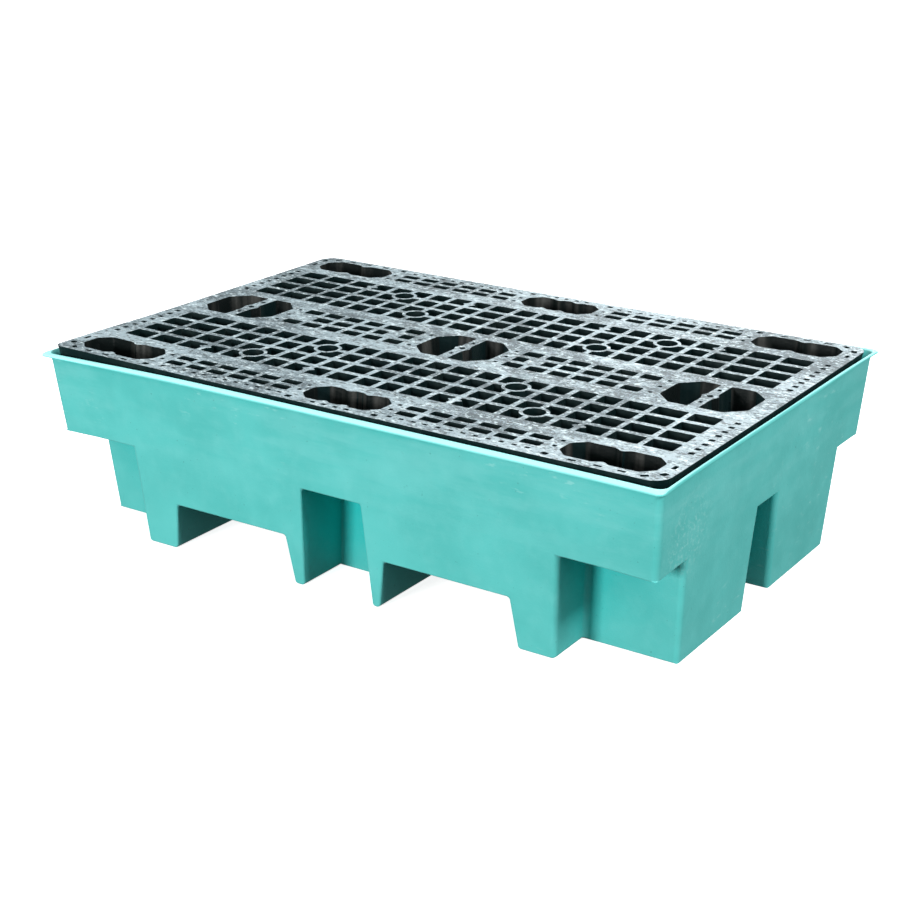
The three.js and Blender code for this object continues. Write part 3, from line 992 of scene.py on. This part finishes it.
def floor_material():
    """A pale floor that glows a little, so that it stays plain."""
    made = Nodes("studio_floor")
    shader = made.shader.inputs
    speck = made.noise(3.0, 2.0, 0.5)
    made.give(shader["Base Color"], made.mix(speck, (0.80, 0.80, 0.80, 1), (0.83, 0.83, 0.83, 1)))
    made.give(shader["Roughness"], 0.8)
    made.give(shader["Specular IOR Level"], 0.1)
    made.give(shader["Emission Color"], (1.0, 1.0, 1.0, 1))
    made.give(shader["Emission Strength"], 0.86)
    return made.material


# ---------- studio ----------

def area_light(name, place, aim, width, height, power, colour=(1, 1, 1)):
    data = bpy.data.lights.new(name, "AREA")
    data.shape, data.size, data.size_y = "RECTANGLE", width, height
    data.energy, data.color = power, colour
    made = new_object(name, data)
    made.location = place
    made.rotation_euler = (Vector(aim) - Vector(place)).to_track_quat("-Z", "Y").to_euler()


def build_floor():
    """A wide floor just below the object, which neither lights it nor shows in its gloss."""
    work = bmesh.new()
    bmesh.ops.create_grid(work, x_segments=2, y_segments=2, size=40)
    floor = object_from("studio_floor", work)
    floor.location.z = -0.0005
    floor.data.materials.append(floor_material())
    floor.visible_diffuse = False
    floor.visible_glossy = False


def build_world():
    """Even grey light from above the horizon, and little of it from below."""
    world = bpy.data.worlds.new("studio")
    bpy.context.scene.world = world
    world.use_nodes = True
    nodes, links = world.node_tree.nodes, world.node_tree.links
    background = nodes["Background"]
    place = nodes.new("ShaderNodeTexCoord")
    split = nodes.new("ShaderNodeSeparateXYZ")
    rise = nodes.new("ShaderNodeMapRange")
    rise.inputs["From Min"].default_value, rise.inputs["From Max"].default_value = -0.12, 0.0
    rise.inputs["To Min"].default_value, rise.inputs["To Max"].default_value = 0.10, 1.0
    links.new(place.outputs["Generated"], split.inputs[0])
    links.new(split.outputs["Z"], rise.inputs["Value"])
    links.new(rise.outputs["Result"], background.inputs["Strength"])
    background.inputs["Color"].default_value = (0.50, 0.50, 0.50, 1)


def build_lights():
    aim = (0, 0, 0.25)
    area_light("front", (-0.7, -5.2, 1.3), (0, -0.4, 0.2), 1.2, 1.0, 225)
    area_light("right", (4.4, -0.6, 3.3), aim, 1.2, 1.0, 200)
    area_light("glare", (-0.9, 4.3, 2.0), aim, 3.2, 1.5, 72, (0.9, 0.97, 1.0))
    area_light("top", (-0.2, 0.3, 3.6), aim, 3.0, 3.0, 42)
    area_light("left", (-4.5, 0.5, 1.8), aim, 2.0, 2.0, 30)


def build_camera():
    """The camera's axes are given as unit vectors in the object's frame."""
    data = bpy.data.cameras.new("camera")
    data.lens, data.sensor_width = 68.12, 36.0
    data.clip_start, data.clip_end = 0.05, 60.0
    made = new_object("camera", data)
    right = Vector((0.83593, 0.54881, 0.00588))
    down = Vector((0.19600, -0.28851, -0.93720))
    forward = Vector((-0.51265, 0.78458, -0.34875))
    turn = Matrix((right, -down, -forward)).transposed().to_4x4()
    made.matrix_world = Matrix.Translation((1.6163, -2.4774, 1.2255)) @ turn
    bpy.context.scene.camera = made


build_camera()
build_floor()
build_world()
build_lights()
bpy.context.scene.view_settings.view_transform = "Standard"

tray = build_tray()
tray.data.materials.append(wall_material())
tray.data.materials.append(rim_material())
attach(tray, "tray")
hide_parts("sump_tray")

deck = build_deck()
# The plate's first material has near-black walls round its openings and edge: the plastic's own
# black, darkened further as painted shade in the openings.
for slot_name, wall_dark, wall_drawn in (
        ("deck_polyethylene", (0.003, 0.011, 0.012, 1), (0.010, 0.020, 0.020, 1)),
        ("foot_polyethylene", (0.004, 0.007, 0.007, 1), (0.058, 0.060, 0.056, 1))):
    deck.data.materials.append(deck_material(slot_name, wall_dark, wall_drawn))
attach(deck, "deck")
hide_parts("deck_pallet")
